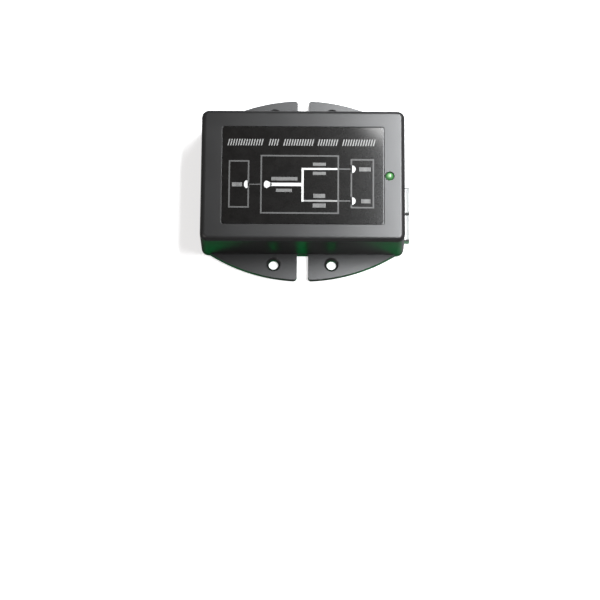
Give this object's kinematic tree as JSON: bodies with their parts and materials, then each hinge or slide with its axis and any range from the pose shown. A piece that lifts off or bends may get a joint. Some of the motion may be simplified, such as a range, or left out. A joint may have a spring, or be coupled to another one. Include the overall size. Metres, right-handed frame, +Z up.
{
  "type": "power over ethernet injector",
  "caption": "Low moulded case with two slotted mounting ears, a recessed face label, a status light, two modular data jacks and a pair of power sockets.",
  "frame": {"origin": "centre of the case's underside, on the surface it is fastened to", "axes": "+Z up through the label, +X towards the data and power inputs, +Y towards the back"},
  "size_m": [0.0973, 0.089, 0.0259],
  "materials": {
    "case_plastic": "fine-textured satin black moulded plastic",
    "label_film": "printed dark grey film with a fine grain",
    "screw_steel": "zinc-plated",
    "board_laminate": "green solder mask over glass laminate",
    "jack_plastic": "smooth black moulded plastic",
    "insert_plastic": "dull dark moulded plastic",
    "contact_gold": "gold flash over nickel",
    "usb_steel": "bright nickel-plated stamping",
    "usb_insulator": "white moulded plastic",
    "led_lens": "tinted clear epoxy",
    "tinned_metal": "tinned",
    "ferrite": "ground ferrite",
    "bobbin_plastic": "moulded phenolic",
    "winding_tape": "polyester tape",
    "copper_wire": "enamelled copper",
    "capacitor_sleeve": "shrunk sleeve over an aluminium can",
    "package_epoxy": "moulded epoxy package",
    "fuse_plastic": "brown moulded cap",
    "ceramic_body": "fired ceramic with tinned ends",
    "resistor_body": "glazed ceramic chip with tinned ends"
  },
  "bodies": {
    "base": {"base_plate": "case_plastic", "circuit_board": "board_laminate", "board_screws": "screw_steel", "poe_jack_housing": "jack_plastic", "poe_jack_insert": "insert_plastic", "poe_jack_wires": "contact_gold", "lan_jack_housing": "jack_plastic", "lan_jack_insert": "insert_plastic", "lan_jack_wires": "contact_gold", "usb_front_shell": "usb_steel", "usb_front_insulator": "usb_insulator", "usb_front_tails": "contact_gold", "usb_rear_shell": "usb_steel", "usb_rear_insulator": "usb_insulator", "usb_rear_tails": "contact_gold", "status_led": "led_lens", "led_leads": "tinned_metal", "magnetics_module": "package_epoxy", "magnetics_leads": "tinned_metal", "transformer_core": "ferrite", "transformer_bobbin": "bobbin_plastic", "transformer_winding": "winding_tape", "inductor_core": "ferrite", "inductor_winding": "copper_wire", "input_capacitors": "capacitor_sleeve", "output_capacitor": "capacitor_sleeve", "controller_chip": "package_epoxy", "controller_leads": "tinned_metal", "switch_transistor": "package_epoxy", "transistor_tab": "tinned_metal", "rectifier_diode": "package_epoxy", "fuse": "fuse_plastic", "ceramic_capacitors": "ceramic_body", "chip_resistors": "resistor_body"},
    "cover": {"upper_shell": "case_plastic", "face_label": "label_film"},
    "screws": {"case_screws": "screw_steel"},
    "poe_contacts": {"poe_jack_fingers": "contact_gold"},
    "lan_contacts": {"lan_jack_fingers": "contact_gold"},
    "usb_front_contacts": {"usb_front_fingers": "contact_gold"},
    "usb_rear_contacts": {"usb_rear_fingers": "contact_gold"}
  },
  "joints": [
    {"name": "cover_lift", "type": "slide", "parent": "base", "child": "cover", "axis": [0, 0, 1], "range_m": [0, 0.04]},
    {"name": "screws_withdraw", "type": "slide", "parent": "base", "child": "screws", "axis": [0, 0, -1], "range_m": [0, 0.016]},
    {"name": "poe_contacts_press", "type": "hinge", "parent": "base", "child": "poe_contacts", "pos_m": [-0.0451, 0, 0.0184], "axis": [0, -1, 0], "range_deg": [0, 12], "stiffness_Nm_per_rad": 0.3},
    {"name": "lan_contacts_press", "type": "hinge", "parent": "base", "child": "lan_contacts", "pos_m": [0.0451, 0.013, 0.0184], "axis": [0, 1, 0], "range_deg": [0, 12], "stiffness_Nm_per_rad": 0.3},
    {"name": "usb_front_contacts_press", "type": "hinge", "parent": "base", "child": "usb_front_contacts", "pos_m": [0.0397, -0.0219, 0.01105], "axis": [0, -1, 0], "range_deg": [0, 4], "stiffness_Nm_per_rad": 0.3},
    {"name": "usb_rear_contacts_press", "type": "hinge", "parent": "base", "child": "usb_rear_contacts", "pos_m": [0.0397, -0.0086, 0.01105], "axis": [0, -1, 0], "range_deg": [0, 4], "stiffness_Nm_per_rad": 0.3}
  ]
}
